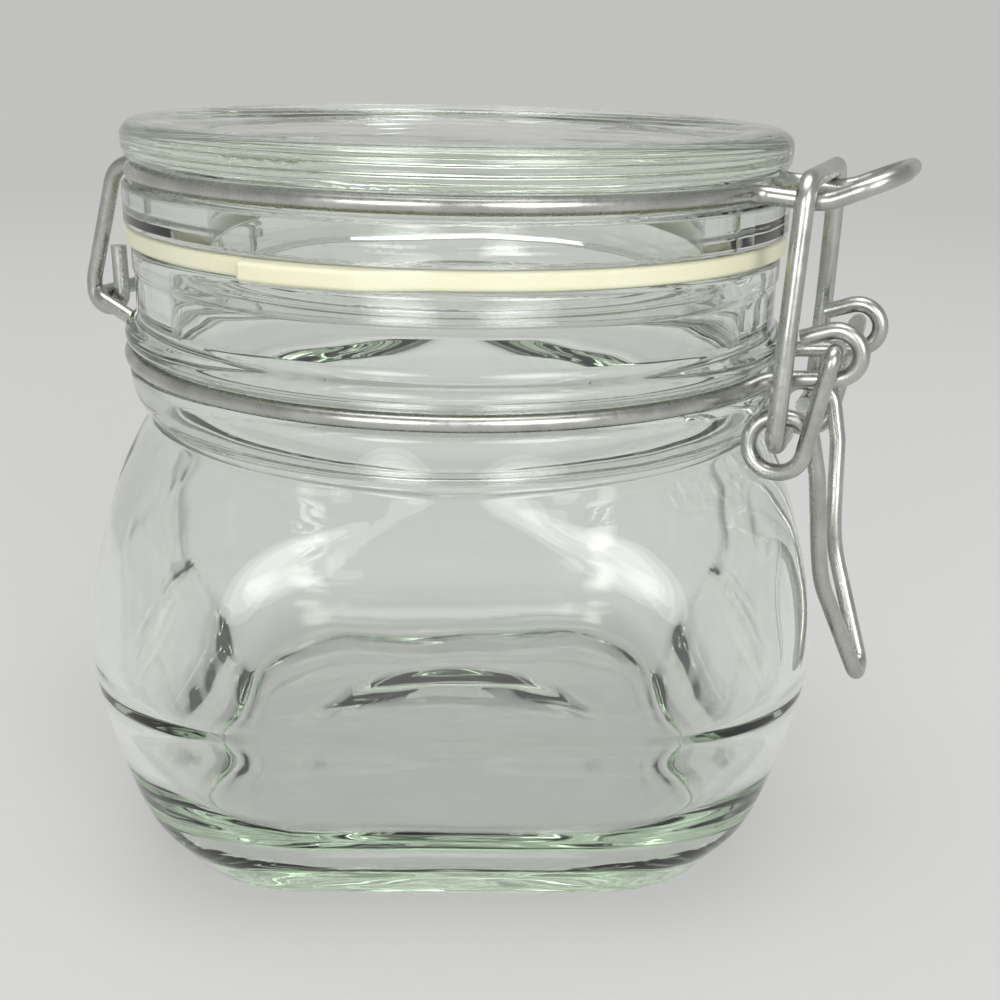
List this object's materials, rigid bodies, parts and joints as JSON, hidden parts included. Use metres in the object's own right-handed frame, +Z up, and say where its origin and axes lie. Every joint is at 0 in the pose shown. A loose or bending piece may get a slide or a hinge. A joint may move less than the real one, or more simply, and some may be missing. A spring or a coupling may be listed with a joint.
{
  "type": "clip-top jar",
  "caption": "Square glass storage jar with a round neck, a glass lid on a rubber seal and a bent-wire clamp, lever and hinge.",
  "frame": {"origin": "centre of the base on the jar's axis, level with the surface it stands on", "axes": "+Z up along the jar's axis; +X towards the clamp, -X towards the hinge; Y along the hinge bar"},
  "size_m": [0.1254, 0.1176, 0.104],
  "materials": {
    "body_glass": "clear, faint green tint",
    "lid_glass": "clear, faint green tint",
    "seal_rubber": "cream natural rubber, matt",
    "wire_steel": "zinc-plated, dull bright"
  },
  "bodies": {
    "jar": {"jar_body": "body_glass", "neck_wire": "wire_steel"},
    "lid_set": {"lid": "lid_glass", "gasket": "seal_rubber", "lid_wire": "wire_steel"},
    "lever_body": {"lever": "wire_steel"},
    "bail_body": {"bail": "wire_steel"}
  },
  "joints": [
    {"name": "lid_hinge", "type": "hinge", "parent": "jar", "child": "lid_set", "pos_m": [-0.0559, 0, 0.0758], "axis": [0, -1, 0], "range_deg": [0, 110]},
    {"name": "lever_pivot", "type": "hinge", "parent": "jar", "child": "lever_body", "pos_m": [0.0583, 0, 0.0773], "axis": [0, -1, 0], "range_deg": [0, 80]},
    {"name": "bail_pivot", "type": "hinge", "parent": "lever_body", "child": "bail_body", "pos_m": [0.0521, 0, 0.06475], "axis": [0, -1, 0], "range_deg": [-150, 0]}
  ],
  "couplings": [
    {"joint": "lever_pivot", "follows": "lid_hinge", "ratio": 0.7272},
    {"joint": "bail_pivot", "follows": "lid_hinge", "ratio": -1.3636}
  ]
}
